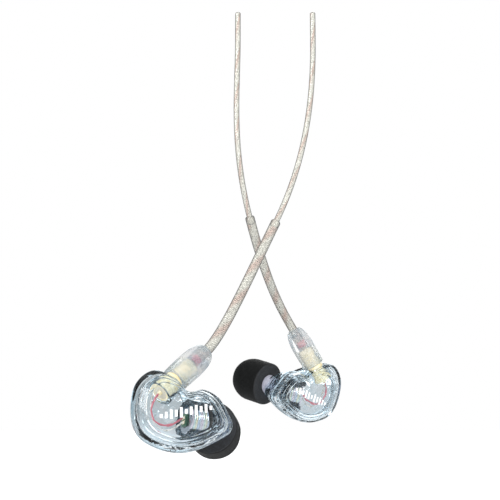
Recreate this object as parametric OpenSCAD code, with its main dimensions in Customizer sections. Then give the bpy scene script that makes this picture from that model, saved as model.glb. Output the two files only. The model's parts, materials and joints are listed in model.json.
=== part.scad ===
// In ear monitors: a left and a right earphone hanging from their two cables.
// Millimetres. +Z is up. The origin is the centre of the left cable's cut top end.
//
// Every earphone piece is drawn once, in the earphone's own frame, and place() puts it on either side.
// Earphone frame: x runs along the face towards the pointed corner, y goes into the ear, z is up,
// and the origin lies behind the middle of the face. The right earphone is the mirror image in x.

/* [Hanging] */
// Distance between the two cable ends, sideways
cable_gap = 21; // [18:0.5:26]
// Height from the cable ends down to the tops of the ear sleeves
cable_drop = 60; // [56:1:64]
// Height from the cable ends down to the earphones' faces
face_drop = 112; // [110:1:114]
// How far the right earphone hangs above the left one
right_lift = 4.5; // [3:0.5:7]

/* [Shell] */
// Height of the dome of the outer shell
dome_h = 3.4; // [2.6:0.1:3.8]
// Depth at which the dome becomes the straight side wall
side_y = 1.2; // [0.8:0.1:1.6]
// Depth of the seam between the two shells
seam_y = 3.2; // [2.8:0.1:3.6]
// Depth of the inner shell from the seam to the end of its snout
inner_depth = 7.4; // [7:0.1:7.8]
// Wall thickness of the shells
wall = 1; // [0.8:0.1:1.1]

/* [Driver] */
// Radius of the driver's can
can_r = 3.4; // [3:0.1:3.5]
// Length of the driver's can
can_len = 4.6; // [4:0.1:4.8]

/* [Connector] */
// Radius of the plug's barrel
plug_r = 1.74; // [1.6:0.01:1.8]
// Outer radius of the socket's barrel
socket_r = 2.4; // [2.2:0.05:2.6]
// Length of the boot from the socket's mouth to its tip
boot_len = 12.8; // [12:0.1:13.5]
// Running clearance between pieces that turn or slide
play = 0.05; // [0.03:0.01:0.08]

/* [Cable] */
// Radius of the thin cable
cable_r = 0.775; // [0.7:0.025:0.85]
// Radius of the thick ear sleeve
sleeve_r = 1.3; // [1.2:0.05:1.35]
// Length of the straight stretch at each cable's top end
straight_len = 8; // [6:0.5:10]

/* [Ear tip] */
// Radius of the foam tip
foam_r = 6.5; // [5.5:0.1:7]
// Length of the foam tip
foam_len = 12.5; // [11.5:0.1:13]
// Radius of the nozzle's stem
stem_r = 2.05; // [1.9:0.05:2.1]

/* [Hidden] */
PIECES = [
    "outer_shell", "inner_shell", "nozzle", "acoustic_filter", "sound_chamber",
    "driver_can", "magnet", "pole_plate", "voice_coil", "diaphragm", "driver_gasket",
    "terminal_board", "socket_barrel", "socket_insulator", "socket_contact",
    "signal_lead", "ground_lead", "foam_tip", "tip_core",
    "plug_barrel", "plug_insulator", "plug_pin", "snap_ring",
    "boot", "core_shrink", "ear_sleeve", "ear_wire", "ear_conductors",
    "cable_jacket", "cable_conductors"
];

$fn = 64;
LEFT = 1;
RIGHT = -1;
gap = 0.02;      // between pieces that are fixed to each other
flex_gap = 0.25; // between a cable and its ear sleeve, so that the sleeve can swing

// ---- vectors ----
function unit(v) = v / norm(v);
function mix(a, b, t) = a + (b - a) * t;
function turn_x(p, a) = [p.x, p.y * cos(a) - p.z * sin(a), p.y * sin(a) + p.z * cos(a)];
function turn_y(p, a) = [p.x * cos(a) + p.z * sin(a), p.y, p.z * cos(a) - p.x * sin(a)];
function turn_z(p, a) = [p.x * cos(a) - p.y * sin(a), p.x * sin(a) + p.y * cos(a), p.z];
function turn(p, a) = turn_z(turn_y(turn_x(p, a.x), a.y), a.z);

// ---- where each earphone hangs and how it is turned ----
left_at = [-33, -34.5, -0.1 - face_drop];
right_at = [-0.2, 35, right_lift + 0.2 - face_drop];
left_turn = [-16.4, 0, 7];
right_turn = [11, 10.7, 35.9];
function at(side) = side == LEFT ? left_at : right_at;
function tilt(side) = side == LEFT ? left_turn : right_turn;
function world_dir(v, side) = turn([side * v.x, v.y, v.z], tilt(side));
function world(p, side) = at(side) + world_dir(p, side);

module place(side) {
    translate(at(side)) rotate(tilt(side)) {
        if (side == LEFT) children();
        else mirror([1, 0, 0]) children();
    }
}

// ---- axes in the earphone frame ----
mouth = [-2.1, 3.6, 10.2];              // centre of the socket's mouth
plug_dir = unit([0.64, 0.325, 0.697]);  // out of the mouth, along the boot
tip_seat = [7.2, 11.6, 1.2];            // where the foam tip's base rests on the nozzle's collar
nozzle_dir = unit([0.26, 0.965, 0.02]);
driver_at = [2.9, 4.3, 0.4];
driver_dir = unit([0.927, 0.375, -0.05]);

// Puts the origin at a point with +Z along a direction.
module along(point, dir) {
    translate(point) rotate([0, acos(dir.z), atan2(dir.y, dir.x)]) children();
}
module on_plug_axis() { along(mouth, plug_dir) children(); }
module on_nozzle_axis() { along(tip_seat, nozzle_dir) children(); }
module on_driver_axis() { along(driver_at, driver_dir) children(); }

// A tube from z0 to z1.
module tube(z0, z1, outer, inner) {
    translate([0, 0, z0]) difference() {
        cylinder(h = z1 - z0, r = outer);
        translate([0, 0, -1]) cylinder(h = z1 - z0 + 2, r = inner);
    }
}

// ---- shells: stacked outlines ----
// Corners of the shell's outline seen from the front, as x and z, clockwise from the left edge.
outline_pts = [
    [-12.1, 2.2], [-11.2, 8.4], [-7.2, 11.9], [-2.2, 10.4], [1.2, 6.8], [4.9, 7.2], [8.4, 5.2],
    [10.8, 0.9], [11.4, -1.3], [10.3, -3.0], [4.6, -5.8], [-0.8, -6.9], [-6.2, -5.8], [-10.5, -2.9]
];
outline_mid = [0.3, 1.2];
snout_mid = [tip_seat.x - 0.4, tip_seat.z];
snout_r = 3.1;
ring_n = 42;

function catmull(a, b, c, d, t) =
    0.5 * (2 * b + (c - a) * t + (2 * a - 5 * b + 4 * c - d) * t * t + (3 * b - a - 3 * c + d) * t * t * t);
function outline(u) =
    let (n = len(outline_pts), i = floor(u * n), t = u * n - i)
    catmull(outline_pts[(i + n - 1) % n], outline_pts[i % n], outline_pts[(i + 1) % n],
            outline_pts[(i + 2) % n], t);

// One outline at depth y, shrunk by s about its middle, and drawn towards the snout's circle by m.
function ring(y, s, m = 0, r = snout_r) = [
    for (k = [0 : ring_n - 1])
        let (p = outline(k / ring_n) - outline_mid, a = atan2(p.y, p.x),
             q = mix(outline_mid + s * p, snout_mid + r * [cos(a), sin(a)], m))
        [q.x, y, q.y]
];

// Depth of a dome at shrink s: 1 at the middle and 0 at the rim.
function dome(s, p) = sqrt(1 - pow(s, p));
cover_steps = [0.3, 0.55, 0.75, 0.88, 0.96, 0.992];
snout_steps = [0.12, 0.28, 0.45, 0.62, 0.78, 0.9, 0.975];
cavity_s = 1 - wall / 8.2;

function cover_rings(s_all, h) = [for (s = cover_steps) ring(side_y - h * dome(s, 2.6), s * s_all)];
// The inner shell goes from the snout's end, step 0, to the seam, step 1.
function snout_ring(t, s_all, depth, r) =
    ring(seam_y + depth * dome(t, 2.1), mix(0.55, 1, t) * s_all, pow(1 - t, 1.3), r);

// A closed solid through a list of rings, with a flat cap on the first and the last one.
module ring_solid(rings) {
    n = len(rings[0]);
    last = len(rings) - 1;
    polyhedron(
        points = [for (r = rings, p = r) p],
        faces = concat(
            [[for (k = [0 : n - 1]) k]],
            [for (i = [0 : last - 1], k = [0 : n - 1])
                [i * n + k, (i + 1) * n + k, (i + 1) * n + (k + 1) % n]],
            [for (i = [0 : last - 1], k = [0 : n - 1])
                [i * n + k, (i + 1) * n + (k + 1) % n, i * n + (k + 1) % n]],
            [[for (k = [n - 1 : -1 : 0]) last * n + k]]
        )
    );
}

// The space that the socket and the boot need in both shells.
module connector_cut() {
    on_plug_axis() {
        translate([0, 0, -5 - gap]) cylinder(h = 6, r = socket_r + gap);
        cylinder(h = 14, r = 3.6);
    }
}

module outer_shell() {
    outer = concat(cover_rings(1, dome_h), [ring(seam_y - gap, 1)]);
    cavity = concat(cover_rings(cavity_s, dome_h - wall), [ring(seam_y - gap, cavity_s)]);
    count = len(cavity);
    color([0.72, 0.78, 0.84, 0.45]) {
        difference() {
            ring_solid(concat(outer, [for (i = [count - 1 : -1 : 0]) cavity[i]]));
            connector_cut();
        }
        for (post = [[4.9, 5.0], [7.4, -2.2]]) {
            translate([post.x, -0.4, post.y]) rotate([-90, 0, 0]) cylinder(h = 1.7, r = 0.6);
        }
    }
}

module inner_shell() {
    outer = concat(
        [for (t = snout_steps) snout_ring(t, 1, inner_depth, snout_r)],
        [ring(seam_y + gap, 1)]
    );
    cavity = concat(
        [for (t = snout_steps) snout_ring(t, cavity_s, inner_depth - wall, snout_r - 0.6)],
        [ring(seam_y + gap, cavity_s)]
    );
    count = len(outer);
    color([0.72, 0.78, 0.84, 0.45])
    difference() {
        ring_solid(concat(cavity, [for (i = [count - 1 : -1 : 0]) outer[i]]));
        connector_cut();
        on_nozzle_axis() {
            translate([0, 0, -8]) cylinder(h = 8, r = stem_r + 0.2 + gap);
            translate([0, 0, -1.1]) cylinder(h = 6, r = 5);
        }
    }
}

// ---- nozzle and ear tip ----
collar_r = 2.9;
filter_r = 1.38;

module nozzle() {
    color([0.72, 0.72, 0.78])
    on_nozzle_axis() difference() {
        union() {
            translate([0, 0, -3.2]) cylinder(h = 3, r = stem_r + 0.2);
            translate([0, 0, -1 - gap]) cylinder(h = 1 - gap, r = collar_r);
            translate([0, 0, -0.5]) cylinder(h = 5.7, r = stem_r);
        }
        translate([0, 0, -4]) cylinder(h = 10, r = filter_r + gap);
    }
}

module acoustic_filter() {
    color([0.2, 0.2, 0.22])
    on_nozzle_axis() translate([0, 0, 3.8]) cylinder(h = 0.8, r = filter_r);
}

module tip_core() {
    color([0.12, 0.12, 0.13])
    on_nozzle_axis() tube(gap, foam_len - 2.2, stem_r + play + 0.6, stem_r + play);
}

module foam_tip() {
    core_r = stem_r + play + 0.6 + gap;
    dome_len = foam_len - 5.5;
    color([0.13, 0.13, 0.14])
    on_nozzle_axis() rotate_extrude() polygon(concat(
        [[core_r, gap], [foam_r - 0.5, gap], [foam_r, 0.5], [foam_r, 6]],
        [for (a = [12 : 12 : 72]) [foam_r * cos(a), 6 + (dome_len - 0.5) * sin(a)]],
        [[1.8, foam_len], [1.6, foam_len - 0.4], [1.6, foam_len - 2.1], [core_r, foam_len - 2.1]]
    ));
}

// ---- driver, drawn along its axis with the front at +Z ----
can_back = -can_len / 2 - 0.1;
can_front = can_back + can_len;

module driver_can() {
    color([0.75, 0.76, 0.8])
    on_driver_axis() rotate_extrude() polygon([
        [0.5, can_back], [can_r - 0.4, can_back], [can_r, can_back + 0.4], [can_r, can_front],
        [can_r - 0.3, can_front], [can_r - 0.3, can_back + 0.6], [0.5, can_back + 0.6]
    ]);
}

module magnet() {
    color([0.5, 0.5, 0.53])
    on_driver_axis() translate([0, 0, can_back + 0.6 + gap]) cylinder(h = 1.6, r = 2);
}

module pole_plate() {
    color([0.62, 0.62, 0.66])
    on_driver_axis() translate([0, 0, can_back + 2.2 + 2 * gap]) cylinder(h = 0.6, r = 1.95);
}

module voice_coil() {
    color([0.72, 0.42, 0.2])
    on_driver_axis() tube(can_back + 2, can_front - 0.7, 2.25, 2.1);
}

module diaphragm() {
    color([0.55, 0.6, 0.68])
    on_driver_axis() rotate_extrude() polygon([
        [0, can_front + 0.25], [1.2, can_front - 0.05], [2.2, can_front - 0.6],
        [2.7, can_front - 0.25], [can_r - 0.35, can_front - 0.5], [can_r - 0.35, can_front - 0.4],
        [2.7, can_front - 0.15], [2.2, can_front - 0.5], [1.2, can_front + 0.05], [0, can_front + 0.35]
    ]);
}

module driver_gasket() {
    color([0.08, 0.08, 0.09])
    on_driver_axis() tube(can_front + gap, can_front + 0.7, can_r + 0.5, can_r - 0.3);
}

// A funnel that turns from the gasket, across the driver's axis, to the nozzle's root.
chamber_start = driver_at + (can_front + 0.7 + gap) * driver_dir;
chamber_stop = 3.25; // how far below the tip seat the chamber ends
chamber_end = tip_seat - chamber_stop * nozzle_dir;
chamber_n = 24;
chamber_steps = 7;
function chamber_point(a, r0, r1, t) =
    let (u = unit(cross(driver_dir, nozzle_dir)),
         p = chamber_start + r0 * (u * cos(a) + cross(driver_dir, u) * sin(a)),
         q = chamber_end + r1 * (u * cos(a) + cross(nozzle_dir, u) * sin(a)),
         pull = 0.4 * norm(q - p))
    bezier([p, p + pull * driver_dir, q - pull * nozzle_dir, q], t);
function chamber_ring(r0, r1, t) =
    [for (k = [0 : chamber_n - 1]) chamber_point(360 * k / chamber_n, r0, r1, t)];

module sound_chamber() {
    color([0.16, 0.22, 0.3, 0.8])
    ring_loop(concat(
        [for (i = [0 : chamber_steps]) chamber_ring(can_r, 1.9, i / chamber_steps)],
        [for (i = [chamber_steps : -1 : 0]) chamber_ring(can_r - 0.4, 1.5, i / chamber_steps)]
    ));
}

module terminal_board() {
    color([0.16, 0.32, 0.24])
    on_driver_axis() translate([-1.5, -1.1, can_back - 0.5]) cube([3, 2.2, 0.5 - gap]);
}

// ---- coaxial connector, drawn along the plug's axis with the socket's mouth at 0 ----
bore_r = plug_r + play;
contact_r = 0.55;
pin_r = 0.25;

module socket_barrel() {
    color([0.88, 0.74, 0.4])
    on_plug_axis() tube(-5, 0, socket_r, bore_r);
}

module socket_insulator() {
    color([0.93, 0.9, 0.8])
    on_plug_axis() tube(-5, -3.9, bore_r - gap, contact_r + gap);
}

module socket_contact() {
    color([0.88, 0.74, 0.4])
    on_plug_axis() difference() {
        translate([0, 0, -5.6]) cylinder(h = 4, r = contact_r);
        translate([0, 0, -4.1]) cylinder(h = 4, r = pin_r + play);
    }
}

module plug_barrel() {
    color([0.88, 0.74, 0.4])
    on_plug_axis() rotate_extrude() polygon([
        [1.3, -3.6], [plug_r - 0.15, -3.6], [plug_r, -3.4], [plug_r, -2.7], [1.48, -2.7],
        [1.48, -2.1], [plug_r, -2.1], [plug_r, 0.2], [2.3, 0.2], [2.3, 2.2], [2, 2.2],
        [2, 6], [1.3, 6]
    ]);
}

module plug_insulator() {
    color([0.93, 0.9, 0.8])
    on_plug_axis() tube(-1.4, 5.4, 1.3 - gap, pin_r + gap);
}

module plug_pin() {
    color([0.88, 0.74, 0.4])
    on_plug_axis() translate([0, 0, -3.8]) cylinder(h = 9.6, r = pin_r, $fn = 32);
}

module snap_ring() {
    color([0.8, 0.8, 0.82])
    on_plug_axis() difference() {
        tube(-2.65, -2.15, plug_r + 0.02, 1.48 + play);
        translate([1, -0.3, -3]) cube([2, 0.6, 2]);
    }
}

// ---- boot and what it holds ----
sleeve_start = boot_len - 4; // the ear sleeve begins here, inside the boot

module boot() {
    top = boot_len;
    color([0.78, 0.82, 0.88, 0.55])
    on_plug_axis() rotate_extrude() polygon([
        [2.3 + gap, 0.15], [3.05, 0.15], [3.2, 0.3], [3.28, 2.4], [3.35, 4.6], [3.38, 6.6],
        [3.3, 8.4], [3.1, 10], [2.75, 11.3], [2.3, top - 0.6], [1.85, top - 0.15], [1.5, top],
        [sleeve_r + gap, top], [sleeve_r + gap, 6 + gap], [2 + gap, 6 + gap], [2 + gap, 2.2 + gap],
        [2.3 + gap, 2.2 + gap]
    ]);
}

module core_shrink() {
    color([0.8, 0.2, 0.28])
    on_plug_axis() tube(6.9, sleeve_start - gap, 1.25, 0.95);
}

// ---- cables: tubes swept along curves ----
function bezier(p, t) =
    pow(1 - t, 3) * p[0] + 3 * t * pow(1 - t, 2) * p[1] + 3 * t * t * (1 - t) * p[2] + pow(t, 3) * p[3];

// Directions across a path. All paths run mostly up and down, so the row's y axis is never along them.
function tangent(path, i) = unit(path[min(i + 1, len(path) - 1)] - path[max(i - 1, 0)]);
function across(path, i) = unit(cross([0, 1, 0], tangent(path, i)));
function circle_at(path, i, r, n) =
    let (u = across(path, i), v = cross(tangent(path, i), u))
    [for (k = [0 : n - 1]) path[i] + u * r * cos(360 * k / n) + v * r * sin(360 * k / n)];

// A round rod along a path.
module swept(path, r, n) {
    ring_solid([for (i = [0 : len(path) - 1]) circle_at(path, i, r, n)]);
}

// A closed solid through rings that come back to the first one, such as a tube's outside and its bore.
module ring_loop(rings) {
    n = len(rings[0]);
    m = len(rings);
    polyhedron(
        points = [for (r = rings, p = r) p],
        faces = concat(
            [for (i = [0 : m - 1], k = [0 : n - 1])
                [i * n + k, (i + 1) % m * n + k, (i + 1) % m * n + (k + 1) % n]],
            [for (i = [0 : m - 1], k = [0 : n - 1])
                [i * n + k, (i + 1) % m * n + (k + 1) % n, i * n + (k + 1) % n]]
        )
    );
}

// A round tube along a path.
module swept_tube(path, r, bore, n) {
    last = len(path) - 1;
    ring_loop(concat(
        [for (i = [0 : last]) circle_at(path, i, r, n)],
        [for (i = [last : -1 : 0]) circle_at(path, i, bore, n)]
    ));
}

// Ear sleeve: a straight start inside the boot, then a curve up to the cable.
// The two cables cross below the sleeves' tops, the left one in front.
sleeve_top_left = [-10.7, -7, -cable_drop - 0.9];
sleeve_top_right = [3.3 - cable_gap, 1, 1.8 - cable_drop];
function sleeve_top(side) = side == LEFT ? sleeve_top_left : sleeve_top_right;
// Direction of the cable where it meets the sleeve, pointing down.
function sleeve_top_dir(side) =
    side == LEFT ? unit([-0.42, -0.2, -0.89]) : unit([0.24, 0.45, -0.86]);
function sleeve_curve(side, start) =
    let (tip = world(mouth + boot_len * plug_dir, side), dir = world_dir(plug_dir, side),
         top = sleeve_top(side), back = sleeve_top_dir(side), span = norm(top - tip))
    concat(
        [for (d = [start : 2 : boot_len - 0.5]) world(mouth + d * plug_dir, side)],
        [for (k = [0 : 16]) bezier([tip, tip + 0.17 * span * dir, top + 0.42 * span * back, top], k / 16)]
    );

module ear_sleeve(side) {
    color([0.8, 0.8, 0.76, 0.6])
    swept_tube(sleeve_curve(side, sleeve_start), sleeve_r, 1.02, 14);
}

module ear_wire(side) {
    color([0.7, 0.7, 0.72])
    swept(sleeve_curve(side, 6.6), 0.28, 6);
}

// The conductors are wound round the ear wire.
module ear_conductors(side) {
    color([0.78, 0.72, 0.68])
    swept_tube(sleeve_curve(side, 6.2), 0.9, 0.36, 10);
}

// Thin cable, from just above the ear sleeve up to its straight top end. The straight end overlaps
// the swept stretch, which is a hair thinner.
jacket_bore = 0.5;
function cable_end(side) = side == LEFT ? [0, 0, 0] : [-cable_gap, 0, 0];
function cable_curve(side) =
    let (top = cable_end(side) - [0, 0, straight_len], dir = sleeve_top_dir(side),
         low = sleeve_top(side) - flex_gap * dir)
    concat(
        [for (k = [0 : 16]) bezier([low, low - 21 * dir, top - [0, 0, 15], top], k / 16)],
        [top + [0, 0, 0.5]]
    );

module cable_jacket(side) {
    color([0.8, 0.8, 0.76, 0.6]) {
        swept_tube(cable_curve(side), cable_r - 0.01, jacket_bore + 0.02, 12);
        translate(cable_end(side)) tube(-straight_len, 0, cable_r, jacket_bore);
    }
}

module cable_conductors(side) {
    color([0.78, 0.72, 0.68]) {
        swept(cable_curve(side), jacket_bore - 0.07, 8);
        translate(cable_end(side) - [0, 0, straight_len])
            cylinder(h = straight_len, r = jacket_bore - 0.06);
    }
}

// ---- leads inside the shell ----
board_end = driver_at + (can_back - 0.55) * driver_dir;
socket_end = mouth - 5.75 * plug_dir;

module lead(start, over, under, end, r) {
    path = [for (k = [0 : 14]) bezier([start, over, under, end], k / 14)];
    swept(path, r, 8);
}

module signal_lead() {
    color([0.8, 0.25, 0.32])
    lead(board_end + [-0.3, 0, 0.5], [-5.5, 2.6, -3.6], [-9.6, 1.6, 1.2], socket_end, 0.24);
}

module ground_lead() {
    color([0.7, 0.7, 0.72])
    lead(board_end + [-0.3, 0, -0.5], [-5, 3.6, -4.6], [-9, 4, -0.4],
         mouth - 5.2 * plug_dir + [-1.5, 1.3, 0.8], 0.2);
}

place(LEFT) outer_shell();  // left_outer_shell
place(LEFT) inner_shell();  // left_inner_shell
place(LEFT) nozzle();  // left_nozzle
place(LEFT) acoustic_filter();  // left_acoustic_filter
place(LEFT) sound_chamber();  // left_sound_chamber
place(LEFT) driver_can();  // left_driver_can
place(LEFT) magnet();  // left_magnet
place(LEFT) pole_plate();  // left_pole_plate
place(LEFT) voice_coil();  // left_voice_coil
place(LEFT) diaphragm();  // left_diaphragm
place(LEFT) driver_gasket();  // left_driver_gasket
place(LEFT) terminal_board();  // left_terminal_board
place(LEFT) socket_barrel();  // left_socket_barrel
place(LEFT) socket_insulator();  // left_socket_insulator
place(LEFT) socket_contact();  // left_socket_contact
place(LEFT) signal_lead();  // left_signal_lead
place(LEFT) ground_lead();  // left_ground_lead
place(LEFT) foam_tip();  // left_foam_tip
place(LEFT) tip_core();  // left_tip_core
place(LEFT) plug_barrel();  // left_plug_barrel
place(LEFT) plug_insulator();  // left_plug_insulator
place(LEFT) plug_pin();  // left_plug_pin
place(LEFT) snap_ring();  // left_snap_ring
place(LEFT) boot();  // left_boot
place(LEFT) core_shrink();  // left_core_shrink
ear_sleeve(LEFT);  // left_ear_sleeve
ear_wire(LEFT);  // left_ear_wire
ear_conductors(LEFT);  // left_ear_conductors
cable_jacket(LEFT);  // left_cable_jacket
cable_conductors(LEFT);  // left_cable_conductors
place(RIGHT) outer_shell();  // right_outer_shell
place(RIGHT) inner_shell();  // right_inner_shell
place(RIGHT) nozzle();  // right_nozzle
place(RIGHT) acoustic_filter();  // right_acoustic_filter
place(RIGHT) sound_chamber();  // right_sound_chamber
place(RIGHT) driver_can();  // right_driver_can
place(RIGHT) magnet();  // right_magnet
place(RIGHT) pole_plate();  // right_pole_plate
place(RIGHT) voice_coil();  // right_voice_coil
place(RIGHT) diaphragm();  // right_diaphragm
place(RIGHT) driver_gasket();  // right_driver_gasket
place(RIGHT) terminal_board();  // right_terminal_board
place(RIGHT) socket_barrel();  // right_socket_barrel
place(RIGHT) socket_insulator();  // right_socket_insulator
place(RIGHT) socket_contact();  // right_socket_contact
place(RIGHT) signal_lead();  // right_signal_lead
place(RIGHT) ground_lead();  // right_ground_lead
place(RIGHT) foam_tip();  // right_foam_tip
place(RIGHT) tip_core();  // right_tip_core
place(RIGHT) plug_barrel();  // right_plug_barrel
place(RIGHT) plug_insulator();  // right_plug_insulator
place(RIGHT) plug_pin();  // right_plug_pin
place(RIGHT) snap_ring();  // right_snap_ring
place(RIGHT) boot();  // right_boot
place(RIGHT) core_shrink();  // right_core_shrink
ear_sleeve(RIGHT);  // right_ear_sleeve
ear_wire(RIGHT);  // right_ear_wire
ear_conductors(RIGHT);  // right_ear_conductors
cable_jacket(RIGHT);  // right_cable_jacket
cable_conductors(RIGHT);  // right_cable_conductors
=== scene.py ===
"""In ear monitors: the finished looks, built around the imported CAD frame.

Every earphone piece is modelled in millimetres in the earphone's own frame (x along the face
towards the pointed corner, y into the ear, z up), as in the CAD, and a Side puts it in the row frame.
"""
import json
import math

import bmesh
import bpy
import numpy as np
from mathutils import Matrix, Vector, noise


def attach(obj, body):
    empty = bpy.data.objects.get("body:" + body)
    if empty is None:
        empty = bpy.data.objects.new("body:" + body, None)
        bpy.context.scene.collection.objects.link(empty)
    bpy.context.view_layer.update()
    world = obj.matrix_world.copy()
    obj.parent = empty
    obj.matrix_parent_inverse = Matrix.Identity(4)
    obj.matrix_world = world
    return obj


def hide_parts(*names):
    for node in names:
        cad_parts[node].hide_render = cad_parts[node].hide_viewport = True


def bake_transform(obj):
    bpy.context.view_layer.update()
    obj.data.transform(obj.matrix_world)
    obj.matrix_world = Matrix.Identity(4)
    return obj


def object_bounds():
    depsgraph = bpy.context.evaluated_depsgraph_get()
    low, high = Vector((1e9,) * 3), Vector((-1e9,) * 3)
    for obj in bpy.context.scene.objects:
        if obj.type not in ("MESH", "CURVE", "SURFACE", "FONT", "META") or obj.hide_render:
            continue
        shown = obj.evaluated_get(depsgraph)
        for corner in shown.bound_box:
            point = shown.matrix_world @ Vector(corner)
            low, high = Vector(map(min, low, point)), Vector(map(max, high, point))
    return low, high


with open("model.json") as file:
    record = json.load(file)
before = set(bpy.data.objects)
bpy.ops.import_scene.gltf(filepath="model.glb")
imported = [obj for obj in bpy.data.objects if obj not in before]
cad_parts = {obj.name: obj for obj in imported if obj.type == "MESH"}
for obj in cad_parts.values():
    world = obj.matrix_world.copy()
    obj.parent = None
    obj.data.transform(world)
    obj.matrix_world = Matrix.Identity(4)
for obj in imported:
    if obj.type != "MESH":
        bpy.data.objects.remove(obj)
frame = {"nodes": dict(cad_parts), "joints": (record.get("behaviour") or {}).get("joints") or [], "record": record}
cad_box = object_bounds()

MM = 0.001
JOINTS = {j["name"]: j for j in frame["joints"]}
MOUNTS = {m["name"]: m for m in frame["record"]["mounts"]}


# ---- directions and places ----
def unit(v):
    v = np.asarray(v, float)
    return v / np.linalg.norm(v)


# Axes in the earphone frame: the connector, the nozzle and the driver.
MOUTH, PLUG = np.array([-2.1, 3.6, 10.2]), unit([0.64, 0.325, 0.697])
TIP_SEAT, NOZZLE = np.array([7.2, 11.6, 1.2]), unit([0.26, 0.965, 0.02])
DRIVER_AT, DRIVER = np.array([2.9, 4.3, 0.4]), unit([0.927, 0.375, -0.05])
AXES = {"plug": (MOUTH, PLUG), "nozzle": (TIP_SEAT, NOZZLE), "driver": (DRIVER_AT, DRIVER)}


def triad(a, b):
    c = unit(np.cross(a, b))
    return np.column_stack([a, c, np.cross(a, c)])


class Side:
    """One ear's side. Its place comes from the frame's joints: the swivel, the plug and the tip."""

    def __init__(self, name, mirror):
        self.name = name
        flip = np.diag([mirror, 1.0, 1.0])
        plug = unit(-np.array(JOINTS[name + "_unplug"]["axis"]))
        nozzle = unit(JOINTS[name + "_tip_off"]["axis"])
        self.turn = triad(plug, nozzle) @ triad(flip @ PLUG, flip @ NOZZLE).T @ flip
        swivel = np.array(JOINTS[name + "_swivel"]["pos_m"]) / MM
        self.origin = swivel - self.turn @ MOUTH
        self.sleeve_top = np.array(JOINTS[name + "_cable_flex"]["pos_m"]) / MM

    def place(self, points):
        return np.asarray(points, float) @ self.turn.T + self.origin

    def direction(self, v):
        return self.turn @ v


SIDES = [Side("left", 1.0), Side("right", -1.0)]
# Direction of each cable where it meets its ear sleeve, pointing down.
SLEEVE_DOWN = {"left": unit([-0.42, -0.2, -0.89]), "right": unit([0.24, 0.45, -0.86])}


def along(axis, points):
    """Points drawn round +Z, moved to an axis of the earphone frame."""
    origin, d = AXES[axis]
    tilt, heading = math.acos(d[2]), math.atan2(d[1], d[0])
    x = [math.cos(tilt) * math.cos(heading), math.cos(tilt) * math.sin(heading), -math.sin(tilt)]
    y = [-math.sin(heading), math.cos(heading), 0]
    return origin + np.asarray(points, float) @ np.array([x, y, d])


# ---- finishes ----
class Nodes:
    """The node tree of a material or of the world, under construction."""

    def __init__(self, owner):
        owner.use_nodes = True
        self.tree = owner.node_tree
        self.tree.nodes.clear()

    def add(self, kind, inputs=None, **settings):
        node = self.tree.nodes.new(kind)
        for key, value in settings.items():
            setattr(node, key, value)
        for key, value in (inputs or {}).items():
            socket = node.inputs[key]
            if isinstance(value, bpy.types.NodeSocket):
                self.tree.links.new(value, socket)
            else:
                socket.default_value = value
        return node

    def maths(self, operation, *values):
        return self.add("ShaderNodeMath", dict(enumerate(values)), operation=operation).outputs[0]

    def ramp(self, factor, *stops):
        """stops are (position, (r, g, b))."""
        node = self.add("ShaderNodeValToRGB", {"Fac": factor})
        elements = node.color_ramp.elements
        while len(elements) < len(stops):
            elements.new(0.5)
        for element, (position, colour) in zip(elements, stops):
            element.position = position
            element.color = (*colour, 1)
        return node.outputs["Color"]

    def times(self, a, b):
        return self.add("ShaderNodeMixRGB", {"Fac": 1.0, "Color1": a, "Color2": b},
                        blend_type="MULTIPLY").outputs[0]

    def mix(self, factor, a, b):
        return self.add("ShaderNodeMixShader", {0: factor, 1: a, 2: b}).outputs[0]

    def ray(self, kind):
        return self.add("ShaderNodeLightPath").outputs[f"Is {kind} Ray"]

    def show(self, shader, output):
        self.tree.links.new(shader, self.add(output).inputs["Surface"])


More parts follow.
